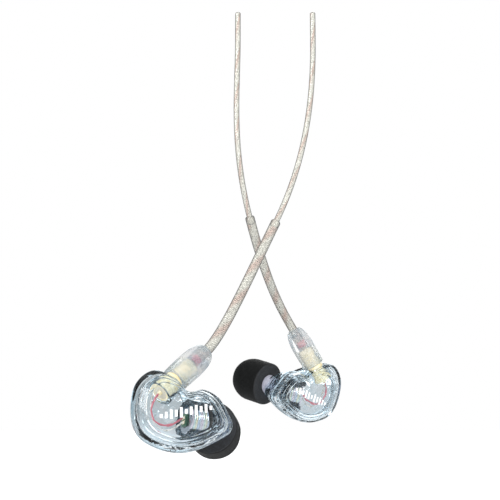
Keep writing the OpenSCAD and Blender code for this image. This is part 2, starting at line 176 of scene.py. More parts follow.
class Finish(Nodes):
    """A node material. Texture scales are given per millimetre."""

    def __init__(self, name):
        self.material = bpy.data.materials.new(name)
        super().__init__(self.material)
        self.where = self.add("ShaderNodeTexCoord").outputs["Object"]

    def noise(self, per_mm, detail=3.0, rough=0.5):
        node = self.add("ShaderNodeTexNoise", {
            "Vector": self.where, "Scale": per_mm / MM, "Detail": detail, "Roughness": rough})
        return node.outputs["Fac"]

    def cells(self, per_mm, output="Distance"):
        node = self.add("ShaderNodeTexVoronoi", {"Vector": self.where, "Scale": per_mm / MM})
        return node.outputs[output]

    def attribute(self, name):
        return self.add("ShaderNodeAttribute", attribute_name=name).outputs["Fac"]

    def facing(self, blend=0.5):
        return self.add("ShaderNodeLayerWeight", {"Blend": blend}).outputs["Facing"]

    def facing_round(self):
        """facing() taken round a tube: the same on a tube that runs away from the camera as across it."""
        run = self.add("ShaderNodeCombineXYZ", {k: self.attribute("run_" + k) for k in "XYZ"})
        run = self.add("ShaderNodeVectorTransform", {0: run.outputs[0]}, vector_type="VECTOR",
                       convert_from="OBJECT", convert_to="WORLD").outputs[0]
        run = self.add("ShaderNodeVectorMath", {0: run}, operation="NORMALIZE").outputs[0]
        shape = self.add("ShaderNodeNewGeometry").outputs
        tilt = self.add("ShaderNodeVectorMath", {0: run, 1: shape["Incoming"]},
                        operation="DOT_PRODUCT").outputs["Value"]
        across = self.maths("SQRT", self.maths("SUBTRACT", 1.0, self.maths("MULTIPLY", tilt, tilt)))
        straight = self.maths("SUBTRACT", 1.0, self.facing())
        return self.maths("SUBTRACT", 1.0, self.maths("DIVIDE", straight, across))

    def bump(self, height, strength, depth_mm):
        node = self.add("ShaderNodeBump", {
            "Height": height, "Strength": strength, "Distance": depth_mm * MM})
        return node.outputs["Normal"]

    def surface(self, **inputs):
        """A Principled surface; colours are (r, g, b)."""
        named = {}
        for key, value in inputs.items():
            if isinstance(value, tuple) and len(value) == 3:
                value = (*value, 1)
            named[key.replace("_", " ")] = value
        return self.add("ShaderNodeBsdfPrincipled", named).outputs[0]

    def lets_light_through(self, shader, tint):
        """Glass as seen, and clear to the rays that light what lies behind it."""
        either = self.maths("MAXIMUM", self.ray("Shadow"), self.ray("Diffuse"))
        clear = self.add("ShaderNodeBsdfTransparent", {"Color": (*tint, 1)}).outputs[0]
        return self.mix(either, shader, clear)

    def done(self, shader):
        self.show(shader, "ShaderNodeOutputMaterial")
        return self.material


def shell_glass(name, wave_per_mm, wave_strength, wave_mm, cloudy=False):
    """Clear blue-grey plastic that darkens where a wall is seen edge on: partly the tint over the longer path
    through the wall, partly painted shade for the dark edge lines.
    """
    f = Finish(name)
    edge = f.ramp(f.facing(), (0.0, (0.965, 0.978, 0.984)), (0.55, (0.91, 0.94, 0.955)),
                  (0.82, (0.79, 0.85, 0.88)), (1.0, (0.55, 0.63, 0.68)))
    if cloudy:
        edge = f.times(edge, f.ramp(f.noise(0.5, 4.0, 0.65), (0.40, (0.873, 0.9506, 0.9894)),
                                    (0.60, (0.96, 0.98, 1.0))))
    wave = f.bump(f.noise(wave_per_mm, 1.5), wave_strength, wave_mm)
    glass = f.add("ShaderNodeBsdfGlass", {
        "Color": edge, "Roughness": 0.012, "IOR": 1.38, "Normal": wave}).outputs[0]
    return f.done(f.lets_light_through(glass, (0.93, 0.945, 0.96)))


def frosted_boot():
    f = Finish("frosted_boot")
    grain = f.bump(f.noise(5.0, 4.0), 0.2, 0.015)
    # tint darkens towards the edges: partly the plastic's tint over a longer path, partly painted shade
    tint = f.ramp(f.facing(0.4), (0.0, (0.97, 0.975, 0.975)), (0.65, (0.86, 0.89, 0.91)),
                  (1.0, (0.40, 0.47, 0.53)))
    glass = f.add("ShaderNodeBsdfGlass", {
        "Color": tint, "Roughness": 0.09, "IOR": 1.38, "Normal": grain}).outputs[0]
    cloud = f.ramp(f.noise(0.4, 2.0), (0.38, (0.50, 0.59, 0.65)), (0.62, (0.92, 0.91, 0.87)))
    milk = f.surface(Base_Color=cloud, Roughness=0.25, Normal=grain, Coat_Weight=0.5)
    glow = f.add("ShaderNodeBsdfTranslucent", {"Color": cloud}).outputs[0]
    body = f.mix(0.36, glass, f.mix(0.5, milk, glow))
    return f.done(f.lets_light_through(body, (0.90, 0.91, 0.93)))


def clear_jacket():
    """Clear soft plastic with a pearly haze. Its colour darkens to near black towards the tube's edges: painted
    shade for the dark edge lines.
    """
    f = Finish("clear_jacket")
    # tint: near white across the middle, painted shade towards the tube's edges
    tint = f.ramp(f.facing_round(), (0.0, (0.99, 0.985, 0.96)), (0.15, (0.93, 0.925, 0.90)),
                  (0.34, (0.62, 0.62, 0.60)), (0.58, (0.12, 0.12, 0.12)))
    wave = f.bump(f.noise(0.9, 2.0), 0.25, 0.03)
    glass = f.add("ShaderNodeBsdfGlass", {
        "Color": tint, "Roughness": 0.08, "IOR": 1.45, "Normal": wave}).outputs[0]
    haze = f.surface(Base_Color=(0.74, 0.73, 0.69), Roughness=0.2, Normal=wave)
    return f.done(f.lets_light_through(f.mix(0.20, glass, haze), (0.92, 0.92, 0.91)))


def no_surface():
    """The bore of a cable's jacket: the plastic lies tight on the strands, so light doesn't bend there."""
    f = Finish("tight_bore")
    tint = f.ramp(f.noise(0.5), (0.0, (1.0, 1.0, 1.0)), (1.0, (0.98, 0.98, 0.98)))
    return f.done(f.add("ShaderNodeBsdfTransparent", {"Color": tint}).outputs[0])


def smoked_plastic():
    f = Finish("smoked_plastic")
    flake = f.maths("LESS_THAN", f.cells(2.6), 0.13)
    streak = f.ramp(f.noise(0.8, 3.0), (0.48, (0.02, 0.04, 0.055)), (0.66, (0.30, 0.40, 0.46)))
    glass = f.add("ShaderNodeBsdfGlass", {
        "Color": (0.34, 0.44, 0.50, 1), "Roughness": 0.05, "IOR": 1.45}).outputs[0]
    body = f.mix(0.42, glass, f.surface(Base_Color=streak, Roughness=0.15))
    # the flakes glow with a white emission: painted glints
    spark = f.surface(Base_Color=(0.95, 0.96, 1.0), Roughness=0.25, Emission_Color=(1.0, 1.0, 1.0),
                      Emission_Strength=0.25)
    return f.done(f.lets_light_through(f.mix(flake, body, spark), (0.45, 0.52, 0.6)))


def film():
    f = Finish("film")
    hue = f.ramp(f.facing(), (0.0, (0.55, 0.62, 0.72)), (0.5, (0.72, 0.62, 0.78)),
                 (1.0, (0.60, 0.78, 0.74)))
    shine = f.surface(Base_Color=hue, Metallic=0.6, Roughness=0.22,
                      Normal=f.bump(f.noise(1.5), 0.15, 0.02))
    return f.done(shine)


def ribbed_steel():
    f = Finish("steel")
    rib = f.maths("FRACT", f.maths("MULTIPLY", f.attribute("along"), 0.41))
    hue = f.ramp(rib, (0.0, (0.62, 0.66, 0.72)), (0.2, (0.84, 0.74, 0.82)), (0.4, (0.66, 0.82, 0.80)),
                 (0.6, (0.90, 0.84, 0.66)), (0.8, (0.60, 0.70, 0.84)), (1.0, (0.62, 0.66, 0.72)))
    brushed = f.bump(f.noise(7.0, 4.0), 0.15, 0.012)
    return f.done(f.surface(Base_Color=hue, Metallic=1.0, Roughness=0.2, Normal=brushed))


def metal(name, colours, roughness, grain_per_mm=5.0, grain=0.15, metallic=1.0, glow=0.0):
    """A metal whose colour drifts between two tones and whose surface has a fine grain. glow is a painted glow:
    emission in the metal's own colour that makes it look brighter lit.
    """
    f = Finish(name)
    hue = f.ramp(f.noise(0.9, 2.0), (0.35, colours[0]), (0.7, colours[1]))
    rough = f.maths("MULTIPLY_ADD", f.noise(2.5, 2.0), 0.15, roughness)
    bump = f.bump(f.noise(grain_per_mm, 3.0), grain, 0.012)
    return f.done(f.surface(Base_Color=hue, Metallic=metallic, Roughness=rough, Normal=bump,
                            Emission_Color=hue, Emission_Strength=glow))


def plastic(name, colours, roughness, grain_per_mm=4.0, grain=0.2, coat=0.0):
    """A moulded plastic or rubber with a fine spark-eroded grain and a slight drift of colour."""
    f = Finish(name)
    hue = f.ramp(f.noise(0.7, 2.0), (0.3, colours[0]), (0.75, colours[1]))
    bump = f.bump(f.noise(grain_per_mm, 4.0), grain, 0.015)
    return f.done(f.surface(Base_Color=hue, Roughness=roughness, Normal=bump, Coat_Weight=coat))


def mesh_screen():
    f = Finish("dark_mesh")
    # the holes are painted near black instead of being cut through: painted shade in the holes
    hole = f.maths("LESS_THAN", f.cells(5.0), 0.32)
    hue = f.ramp(hole, (0.0, (0.16, 0.16, 0.17)), (1.0, (0.005, 0.005, 0.006)))
    return f.done(f.surface(Base_Color=hue, Metallic=0.7, Roughness=0.4,
                            Normal=f.bump(hole, 0.6, -0.03)))


def foam():
    f = Finish("foam")
    pores = f.cells(5.5)
    speck = f.noise(9.0, 5.0, 0.65)
    both = f.maths("MULTIPLY", f.maths("ADD", pores, speck), 0.6)
    skin = f.ramp(both, (0.3, (0.002, 0.0022, 0.0022)), (0.6, (0.005, 0.0055, 0.0055)),
                  (0.85, (0.014, 0.015, 0.015)))
    # cut: the flat base end is lighter than the skin. This is partly the open cells of the cut face and partly
    # painted light, as if that end faced the lamps
    cut = f.ramp(both, (0.3, (0.018, 0.019, 0.020)), (0.85, (0.060, 0.062, 0.066)))
    hue = f.add("ShaderNodeMixRGB", {"Fac": f.attribute("cut"), "Color1": skin, "Color2": cut})
    body = f.surface(Base_Color=hue.outputs[0], Roughness=0.6, Specular_IOR_Level=0.10,
                     Normal=f.bump(both, 0.8, 0.05))
    return f.done(body)


def strands():
    """Fine drawn wires: the attribute strand runs from silver, 0, to copper, 1."""
    f = Finish("tinned_wire")
    copper = f.attribute("strand")
    drift = f.maths("MULTIPLY_ADD", f.noise(0.5, 2.0), 0.3, -0.15)
    hue = f.ramp(f.maths("ADD", copper, drift), (0.15, (0.97, 0.96, 0.90)),
                 (0.5, (0.88, 0.78, 0.71)), (0.9, (0.82, 0.62, 0.55)))
    speck = f.ramp(f.noise(2.4, 3.0, 0.7), (0.38, (0.48, 0.48, 0.46)), (0.56, (1.0, 1.0, 1.0)))
    wires = f.maths("SINE", f.attribute("wire"))
    return f.done(f.surface(Base_Color=f.times(hue, speck), Metallic=0.3, Roughness=0.4,
                            Normal=f.bump(wires, 0.03, 0.02)))


def print_white_painted_glow():
    f = Finish("white_print")
    hue = f.ramp(f.noise(3.0), (0.3, (0.88, 0.89, 0.90)), (0.7, (0.96, 0.96, 0.96)))
    # the print glows a little: painted light that makes the white bars brighter than the lamps make them
    return f.done(f.surface(Base_Color=hue, Roughness=0.5, Emission_Color=(1.0, 1.0, 1.0),
                            Emission_Strength=0.15))


FINISHES = {
    "clear_shell": shell_glass("clear_shell", 0.35, 0.2, 0.05),
    "shell_inside": shell_glass("clear_shell_inside", 0.5, 0.9, 0.3),
    "ear_side_glass": shell_glass("ear_side_glass", 0.5, 0.9, 0.3, cloudy=True),
    "tight_bore": no_surface(),
    "frosted_boot": frosted_boot(),
    "clear_jacket": clear_jacket(),
    "smoked_plastic": smoked_plastic(),
    "film": film(),
    "steel": ribbed_steel(),
    "magnet": metal("magnet", [(0.42, 0.42, 0.45), (0.55, 0.55, 0.57)], 0.25),
    "copper": metal("copper", [(0.72, 0.36, 0.16), (0.86, 0.50, 0.26)], 0.25),
    # the gold glows a little: painted light that brightens it as if it were lit
    "gold": metal("gold", [(0.94, 0.80, 0.48), (1.0, 0.93, 0.72)], 0.18, metallic=0.35,
                  glow=0.2),
    "dark_mesh": mesh_screen(),
    "foam": foam(),
    "tinned_wire": strands(),
    "grey_plastic": plastic("grey_plastic", [(0.42, 0.42, 0.50), (0.52, 0.52, 0.60)], 0.35, coat=0.3),
    "rubber": plastic("rubber", [(0.008, 0.008, 0.009), (0.018, 0.018, 0.02)], 0.42, 8.0, 0.3),
    "board": plastic("board", [(0.015, 0.09, 0.045), (0.03, 0.14, 0.07)], 0.35, 2.0, 0.1, 0.4),
    "cream_plastic": plastic("cream_plastic", [(0.76, 0.70, 0.55), (0.86, 0.80, 0.66)], 0.4),
    "red_insulation": plastic("red_insulation", [(0.56, 0.13, 0.17), (0.72, 0.24, 0.29)], 0.28, coat=0.5),
    "black_plastic": plastic("black_plastic", [(0.012, 0.012, 0.012), (0.03, 0.03, 0.03)], 0.5),
    "white_print": print_white_painted_glow(),
}


# ---- mesh tools ----
def clean(mesh, merge):
    """Merges points closer than merge and turns the faces outwards."""
    edit = bmesh.new()
    edit.from_mesh(mesh)
    bmesh.ops.remove_doubles(edit, verts=edit.verts, dist=merge)
    bmesh.ops.recalc_face_normals(edit, faces=edit.faces)
    edit.to_mesh(mesh)
    edit.free()


def new_object(name, data):
    obj = bpy.data.objects.new(name, data)
    bpy.context.scene.collection.objects.link(obj)
    return obj


def piece(name, points, faces, body, slot, nodes=(), attributes=None, bend=None, sharp=35,
          second=None):
    """Makes one finished piece from points in millimetres in the row frame.
    It rides on body; when bend is given it is left in place with no body, and the bodies and points in bend are
    not read.
    second is another finish and, for each face, whether it has that one."""
    mesh = bpy.data.meshes.new(name)
    mesh.from_pydata((np.asarray(points) * MM).tolist(), [], faces)
    for key, values in (attributes or {}).items():
        mesh.attributes.new(key, "FLOAT", "POINT").data.foreach_set("value", values)
    mesh.materials.append(FINISHES[slot])
    if second:
        mesh.materials.append(FINISHES[second[0]])
        mesh.polygons.foreach_set("material_index", np.asarray(second[1], np.int32))
    clean(mesh, 2e-8)
    mesh.shade_smooth()
    mesh.set_sharp_from_angle(angle=math.radians(sharp))
    obj = new_object(name, mesh)
    if bend:
        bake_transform(obj)
    else:
        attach(obj, body)
    if nodes:
        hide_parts(*nodes)
    return obj


def grid_faces(rows, columns, close_rows=False, close_columns=True):
    """Quads over rows x columns points, numbered row by row."""
    faces = []
    for i in range(rows if close_rows else rows - 1):
        j = (i + 1) % rows
        for k in range(columns if close_columns else columns - 1):
            m = (k + 1) % columns
            faces.append((i * columns + k, j * columns + k, j * columns + m, i * columns + m))
    return faces


def rounded(profile, radius, steps=4):
    """A closed outline with each corner rounded by an arc of about radius."""
    profile = [np.array(p, float) for p in profile]
    result = []
    for i, corner in enumerate(profile):
        before, after = profile[i - 1], profile[(i + 1) % len(profile)]
        a, b = before - corner, after - corner
        la, lb = np.linalg.norm(a), np.linalg.norm(b)
        cosine = float(a @ b) / (la * lb)
        on_axis = corner[0] < 1e-6
        if on_axis or cosine < -0.97:
            result.append(corner)
            continue
        back = min(radius, 0.45 * la, 0.45 * lb)
        start, end = corner + a / la * back, corner + b / lb * back
        for t in np.linspace(0, 1, steps + 1):
            result.append((1 - t) ** 2 * start + 2 * t * (1 - t) * corner + t * t * end)
    return result


def all_round(n):
    """n even angles, once round."""
    return np.linspace(0, 2 * math.pi, n, endpoint=False)


def revolved(profile, n=96, first=0.0, last=2 * math.pi):
    """Points and faces of a closed outline of (radius, height) turned round +Z."""
    profile = np.array(profile, float)
    whole = last - first > 2 * math.pi - 1e-6
    angles = np.linspace(first, last, n, endpoint=not whole)
    points = np.concatenate([
        np.column_stack([profile[:, 0] * math.cos(a), profile[:, 0] * math.sin(a), profile[:, 1]])
        for a in angles])
    m = len(profile)
    faces = grid_faces(n, m, close_rows=whole)
    if not whole:
        faces += [tuple(range(m)), tuple(range((n - 1) * m, n * m))]
    return points, faces


def bezier(p, t):
    t = np.asarray(t)[:, None]
    return ((1 - t) ** 3 * p[0] + 3 * t * (1 - t) ** 2 * p[1]
            + 3 * t * t * (1 - t) * p[2] + t ** 3 * p[3])


def evenly(path, step):
    """The same path with its points a fixed step apart."""
    length = np.concatenate([[0], np.cumsum(np.linalg.norm(np.diff(path, axis=0), axis=1))])
    keep = np.concatenate([[True], np.diff(length) > 1e-9])
    count = int(length[-1] / step) + 1
    at = np.linspace(0, length[-1], count)
    return np.column_stack([np.interp(at, length[keep], path[keep][:, k]) for k in range(3)]), at


def directions(path):
    """The unit tangent at each point of a path."""
    tangents = np.gradient(path, axis=0)
    return tangents / np.linalg.norm(tangents, axis=1)[:, None]


def carried_frames(path):
    """Two directions across the path at each point, carried along it without twist."""
    tangents = directions(path)
    u = unit(np.cross([0, 1, 0], tangents[0]))
    us = []
    for t in tangents:
        u = unit(u - (u @ t) * t)
        us.append(u)
    us = np.array(us)
    return us, np.cross(tangents, us)


def swept(path, radius, n=20, offset=(0.0, 0.0), bore=None):
    """A round rod, or a tube with a bore, along a path. radius is a number or one per point."""
    u, v = carried_frames(path)
    centre = path + u * np.asarray(offset[0])[..., None] + v * np.asarray(offset[1])[..., None]
    radius = np.broadcast_to(np.asarray(radius, float), (len(path),))
    angles = all_round(n)

    def rings(r, order):
        return [centre[i] + r[i] * (np.outer(np.cos(angles), u[i]) + np.outer(np.sin(angles), v[i]))
                for i in order]

    count = len(path)
    if bore is None:
        points = np.concatenate(rings(radius, range(count)))
        faces = grid_faces(count, n)
        faces += [tuple(range(n)), tuple(range((count - 1) * n, count * n))]
    else:
        bores = np.broadcast_to(np.asarray(bore, float), (count,))
        points = np.concatenate(rings(radius, range(count)) + rings(bores, range(count - 1, -1, -1)))
        faces = grid_faces(2 * count, n, close_rows=True)
    return points, faces


def merged(parts):
    """Several (points, faces) as one."""
    points, faces, shift = [], [], 0
    for part_points, part_faces in parts:
        points.append(part_points)
        faces += [tuple(k + shift for k in f) for f in part_faces]
        shift += len(part_points)
    return np.concatenate(points), faces


def carved(base, tools, operation="DIFFERENCE"):
    """A shape (points, faces, inside) in millimetres after cutting or joining each tool.
    inside tells, for each face, whether it belongs to the cavity."""

    def temporary(shape):
        mesh = bpy.data.meshes.new("temporary")
        mesh.from_pydata(np.asarray(shape[0]).tolist(), [], shape[1])
        mesh.materials.append(FINISHES["clear_shell"])
        mesh.materials.append(FINISHES["shell_inside"])
        if len(shape) > 2:
            mesh.polygons.foreach_set("material_index", np.asarray(shape[2], np.int32))
        clean(mesh, 1e-5)
        return new_object("temporary", mesh)

    target = temporary(base)
    cutters = [temporary(t) for t in tools]
    for cutter in cutters:
        modifier = target.modifiers.new("cut", "BOOLEAN")
        modifier.operation = operation
        modifier.solver = "EXACT"
        modifier.object = cutter
    evaluated = target.evaluated_get(bpy.context.evaluated_depsgraph_get())
    mesh = bpy.data.meshes.new_from_object(evaluated)
    for obj in [target] + cutters:
        bpy.data.objects.remove(obj)
    points = np.array([v.co for v in mesh.vertices])
    faces = [tuple(p.vertices) for p in mesh.polygons]
    inside = [p.material_index for p in mesh.polygons]
    bpy.data.meshes.remove(mesh)
    return points, faces, inside


# ---- shells ----
OUTLINE = np.array([
    [-12.1, 2.2], [-11.2, 8.4], [-7.2, 11.9], [-2.2, 10.4], [1.2, 6.8], [4.9, 7.2], [8.4, 5.2],
    [10.8, 0.9], [11.4, -1.3], [10.3, -3.0], [4.6, -5.8], [-0.8, -6.9], [-6.2, -5.8], [-10.5, -2.9]])
OUTLINE_MID = np.array([0.3, 1.2])
SNOUT_MID, SNOUT_R = np.array([TIP_SEAT[0] - 0.4, TIP_SEAT[2]]), 3.1
DOME_H, SIDE_Y, SEAM_Y, INNER_DEPTH, WALL = 3.4, 1.2, 3.2, 7.4, 1.0
GAP = 0.02  # between neighbouring pieces
MEAN_REACH = 8.2  # from the outline's middle to the outline, on average
CAVITY_S = 1 - WALL / MEAN_REACH
COVER_POWER, SNOUT_POWER = 2.6, 2.1
AROUND = 182  # points round the outline


def outline_curve(count):
    n = len(OUTLINE)
    result = []
    for u in np.linspace(0, n, count, endpoint=False):
        i, t = int(u), u - int(u)
        a, b, c, d = (OUTLINE[(i + k) % n] for k in (-1, 0, 1, 2))
        result.append(0.5 * (2 * b + (c - a) * t + (2 * a - 5 * b + 4 * c - d) * t * t
                             + (3 * b - a - 3 * c + d) * t ** 3))
    return np.array(result)


SHELL_OUTLINE = outline_curve(AROUND)
FROM_MID = SHELL_OUTLINE - OUTLINE_MID
ANGLES = np.arctan2(FROM_MID[:, 1], FROM_MID[:, 0])


def ring(y, s, m=0.0, r=SNOUT_R):
    """The outline at depth y, shrunk by s and drawn towards the snout's circle by m."""
    circle = SNOUT_MID + r * np.column_stack([np.cos(ANGLES), np.sin(ANGLES)])
    q = (1 - m) * (OUTLINE_MID + s * FROM_MID) + m * circle
    return np.column_stack([q[:, 0], np.full(AROUND, y), q[:, 1]])


def cover_rings(scale, height, steps=22, beads=()):
    """The dome of the outer shell, from its middle to its rim.
    beads are (place, height, width) of ridges that follow the outline."""
    rings = []
    for a in np.linspace(0, math.pi / 2, steps):
        t = math.sin(a) ** (2 / COVER_POWER)
        ridge = sum(h * math.exp(-((t - at) / w) ** 2) for at, h, w in beads)
        rings.append(ring(SIDE_Y - height * math.cos(a) + ridge, scale * t))
    return rings


def snout_rings(scale, depth, r, steps=26):
    """The inner shell, from the end of its snout to its rim."""
    rings = []
    for a in np.linspace(0, math.pi / 2, steps):
        t = math.sin(a) ** (2 / SNOUT_POWER)
        y = SEAM_Y + GAP + (depth - GAP) * math.cos(a)
        rings.append(ring(y, (0.55 + 0.45 * t) * scale, (1 - t) ** 1.3, r))
    return rings


def face_y(x, z):
    """Depth of the outer shell's face at a place on it."""
    q = np.array([x, z]) - OUTLINE_MID
    reach = np.interp(math.atan2(q[1], q[0]), ANGLES, np.linalg.norm(FROM_MID, axis=1),
                      period=2 * math.pi)
    s = min(np.linalg.norm(q) / reach, 0.999)
    return SIDE_Y - DOME_H * math.sqrt(1 - s ** COVER_POWER)


def filled(rings, inside):
    """A solid from a run of rings, closed flat at both ends."""
    faces = grid_faces(len(rings), AROUND)
    faces += [tuple(range(AROUND)), tuple(range((len(rings) - 1) * AROUND, len(rings) * AROUND))]
    return np.concatenate(rings), faces, [inside] * len(faces)


def rod(axis, z0, z1, r, n=72):
    points, faces = revolved([(0, z0), (r, z0), (r, z1), (0, z1)], n)
    return along(axis, points), faces


def connector_cuts():
    """The hole for the socket's barrel, and room for the boot in front of it."""
    hole_r, room_r = 2.42, 3.6
    return [rod("plug", -5 - GAP, 1, hole_r), rod("plug", 0, 14, room_r)]


SEAM_BEVEL = 0.16
COVER_RIDGES = [(0.90, 0.22, 0.02), (0.78, 0.28, 0.03)]
POSTS_AT = [(4.9, 5.0), (7.4, -2.2)]


def outer_shell_shape():
    rim = SEAM_Y - GAP
    outer = cover_rings(1, DOME_H)
    outer += [ring(rim - SEAM_BEVEL, 1), ring(rim, 1 - SEAM_BEVEL / 9)]
    inner = cover_rings(CAVITY_S, DOME_H - WALL, 70, COVER_RIDGES) + [ring(rim + 1, CAVITY_S)]
    shape = carved(filled(outer, 0), [filled(inner, 1)] + connector_cuts())
    posts = []
    for x, z in POSTS_AT:
        profile = rounded([(0.3, -0.4), (0.72, -0.4), (0.72, 1.3), (0.3, 1.3)], 0.12)
        points, faces = revolved(profile, 40)
        posts.append((points[:, [0, 2, 1]] + [x, 0, z], faces))
    return carved(shape, posts, "UNION")


LIP_OUTER, LIP_INNER, LIP_HEIGHT = CAVITY_S - 0.008, CAVITY_S - 0.075, 1.5


def inner_shell_shape():
    """The inner shell, with a lip round its rim that locates the outer shell."""
    rim = SEAM_Y + GAP
    outer = snout_rings(1, INNER_DEPTH, SNOUT_R)[:-1]
    outer += [ring(rim + SEAM_BEVEL, 1), ring(rim, 1 - SEAM_BEVEL / 9), ring(rim, LIP_OUTER)]
    outer += [ring(rim - LIP_HEIGHT + 0.15, LIP_OUTER), ring(rim - LIP_HEIGHT, LIP_OUTER - 0.015)]
    inner = snout_rings(CAVITY_S, INNER_DEPTH - WALL, SNOUT_R - 0.6)[:-3]
    inner += [ring(rim + 0.25, LIP_INNER), ring(rim - LIP_HEIGHT + 0.15, LIP_INNER),
              ring(rim - LIP_HEIGHT - 0.15, LIP_INNER + 0.03)]
    cuts = connector_cuts() + [rod("nozzle", -8, 0, 2.27), rod("nozzle", -1.1, 5, 5)]
    return carved(filled(outer, 0), [filled(inner, 1)] + cuts)


# ---- turned pieces: closed outlines of (radius, height) along an axis ----
CAN_R, CAN_BACK, CAN_FRONT = 3.4, -2.4, 2.2
CHAMBER_FROM, CHAMBER_STOP = CAN_FRONT + 0.72, 3.25  # on the driver's and the nozzle's axis
CRADLE_ARC = (-0.6, math.pi + 0.6)


def ribbed_can():
    """A drawn can whose side is rolled into narrow ribs."""
    side = [(CAN_R - 0.09 * (1 - math.cos(2 * math.pi * t * 7)), CAN_BACK + 0.5 + t * 3.9)
            for t in np.linspace(0, 1, 71)]
    return [(0.5, CAN_BACK), (CAN_R - 0.5, CAN_BACK), (CAN_R - 0.12, CAN_BACK + 0.2), *side,
            (CAN_R, CAN_FRONT), (CAN_R - 0.3, CAN_FRONT), (CAN_R - 0.3, CAN_BACK + 0.6),
            (0.5, CAN_BACK + 0.6)]


def wound_coil():
    turns = 15
    low, high = CAN_BACK + 2, CAN_FRONT - 0.7
    outside = [(2.225 + 0.025 * math.cos(2 * math.pi * t * turns), low + t * (high - low))
               for t in np.linspace(0, 1, turns * 8 + 1)]
    return [(2.1, low), *outside, (2.1, high)]


def grooved_barrel():
    """The socket's barrel, with turned grooves that hold it in the shell."""
    side = []
    for start in (-4.4, -3.5, -2.6, -1.7):
        side += [(2.4, start), (2.22, start + 0.12), (2.22, start + 0.36), (2.4, start + 0.48)]
    return [(1.79, -5), (2.4, -5), *side, (2.4, 0), (1.79, 0)]


FILM_EDGE = CAN_R - 0.35
TURNED = {
    "nozzle": ("nozzle", "grey_plastic", 0.12, [
        (1.4, -3.2), (2.25, -3.2), (2.25, -1.02), (2.5, -1.02), (2.5, -0.62), (2.9, -0.62),
        (2.9, -0.04), (2.05, -0.04), (2.05, 5.2), (1.4, 5.2)]),
    "acoustic_filter": ("nozzle", "dark_mesh", 0.1, [(0, 3.8), (1.38, 3.8), (1.38, 4.6), (0, 4.6)]),
    "tip_core": ("nozzle", "black_plastic", 0.12, [(2.1, 0.02), (2.7, 0.02), (2.7, 10.3), (2.1, 10.3)]),
    "driver_can": ("driver", "steel", 0.05, ribbed_can()),
    "magnet": ("driver", "magnet", 0.12, [
        (0, CAN_BACK + 0.62), (2, CAN_BACK + 0.62), (2, CAN_BACK + 2.22), (0, CAN_BACK + 2.22)]),
    "pole_plate": ("driver", "magnet", 0.08, [
        (0, CAN_BACK + 2.24), (1.95, CAN_BACK + 2.24), (1.95, CAN_BACK + 2.84), (0, CAN_BACK + 2.84)]),
    "voice_coil": ("driver", "copper", 0.01, wound_coil()),
    "diaphragm": ("driver", "film", 0.25, [
        (0, CAN_FRONT + 0.25), (1.2, CAN_FRONT - 0.05), (2.2, CAN_FRONT - 0.6), (2.7, CAN_FRONT - 0.25),
        (FILM_EDGE, CAN_FRONT - 0.5), (FILM_EDGE, CAN_FRONT - 0.4), (2.7, CAN_FRONT - 0.15),
        (2.2, CAN_FRONT - 0.5), (1.2, CAN_FRONT + 0.05), (0, CAN_FRONT + 0.35)]),
    "driver_gasket": ("driver", "rubber", 0.2, [
        (CAN_R - 0.3, CAN_FRONT + 0.02), (CAN_R + 0.5, CAN_FRONT + 0.02), (CAN_R + 0.5, CAN_FRONT + 0.7),
        (CAN_R - 0.3, CAN_FRONT + 0.7)]),
    "driver_cradle": ("driver", "smoked_plastic", 0.15, [
        (CAN_R + 0.04, -2.7), (4.75, -2.7), (4.75, CAN_FRONT - 0.05), (CAN_R + 0.04, CAN_FRONT - 0.05)]),
    "socket_barrel": ("plug", "gold", 0.06, grooved_barrel()),
    "socket_boss": ("plug", "clear_shell", 0.12, [(2.46, -5.3), (3.15, -5.3), (3.15, -1.6), (2.46, -1.6)]),
    "socket_insulator": ("plug", "cream_plastic", 0.08, [(0.57, -5), (1.77, -5), (1.77, -3.9), (0.57, -3.9)]),
    "socket_contact": ("plug", "gold", 0.06, [
        (0, -5.6), (0.55, -5.6), (0.55, -1.6), (0.3, -1.6), (0.3, -4.1), (0, -4.1)]),
    "plug_barrel": ("plug", "gold", 0.08, [
        (1.3, -3.6), (1.59, -3.6), (1.74, -3.4), (1.74, -2.7), (1.48, -2.7), (1.48, -2.1), (1.74, -2.1),
        (1.74, 0.2), (2.3, 0.2), (2.3, 2.2), (2.0, 2.2), (2.0, 6.0), (1.3, 6.0)]),
    "plug_insulator": ("plug", "cream_plastic", 0.08, [(0.27, -1.4), (1.28, -1.4), (1.28, 5.4), (0.27, 5.4)]),
    "plug_pin": ("plug", "gold", 0.1, [(0, -3.8), (0.25, -3.8), (0.25, 5.8), (0, 5.8)]),
    "boot": ("plug", "frosted_boot", 0.12, [
        (2.32, 0.15), (3.05, 0.15), (3.2, 0.3), (3.28, 2.4), (3.35, 4.6), (3.38, 6.6), (3.3, 8.4),
        (3.1, 10.0), (2.75, 11.3), (2.3, 12.2), (1.85, 12.65), (1.5, 12.8), (1.32, 12.8), (1.32, 6.02),
        (2.02, 6.02), (2.02, 2.22), (2.32, 2.22)]),
    "core_shrink": ("plug", "red_insulation", 0.08, [(0.95, 6.9), (1.25, 6.9), (1.25, 8.78), (0.95, 8.78)]),
}
LOOP_PIECES = {"plug_barrel", "plug_insulator", "plug_pin", "boot", "core_shrink"}


def body_for(side, name):
    if name in LOOP_PIECES:
        return side.name + "_ear_loop"
    if name == "tip_core":
        return side.name + "_ear_tip"
    return side.name + "_earphone"


def turned_pieces(side):
    for name, (axis, slot, radius, profile) in TURNED.items():
        first, last = CRADLE_ARC if name == "driver_cradle" else (0, 2 * math.pi)
        points, faces = revolved(rounded(profile, radius), 120, first, last)
        node = f"{side.name}_{name}"
        stands_for = [node] if node in frame["nodes"] else []
        piece(node + "_finished", side.place(along(axis, points)), faces, body_for(side, name), slot,
              stands_for, {"along": points[:, 2]}, sharp=50)


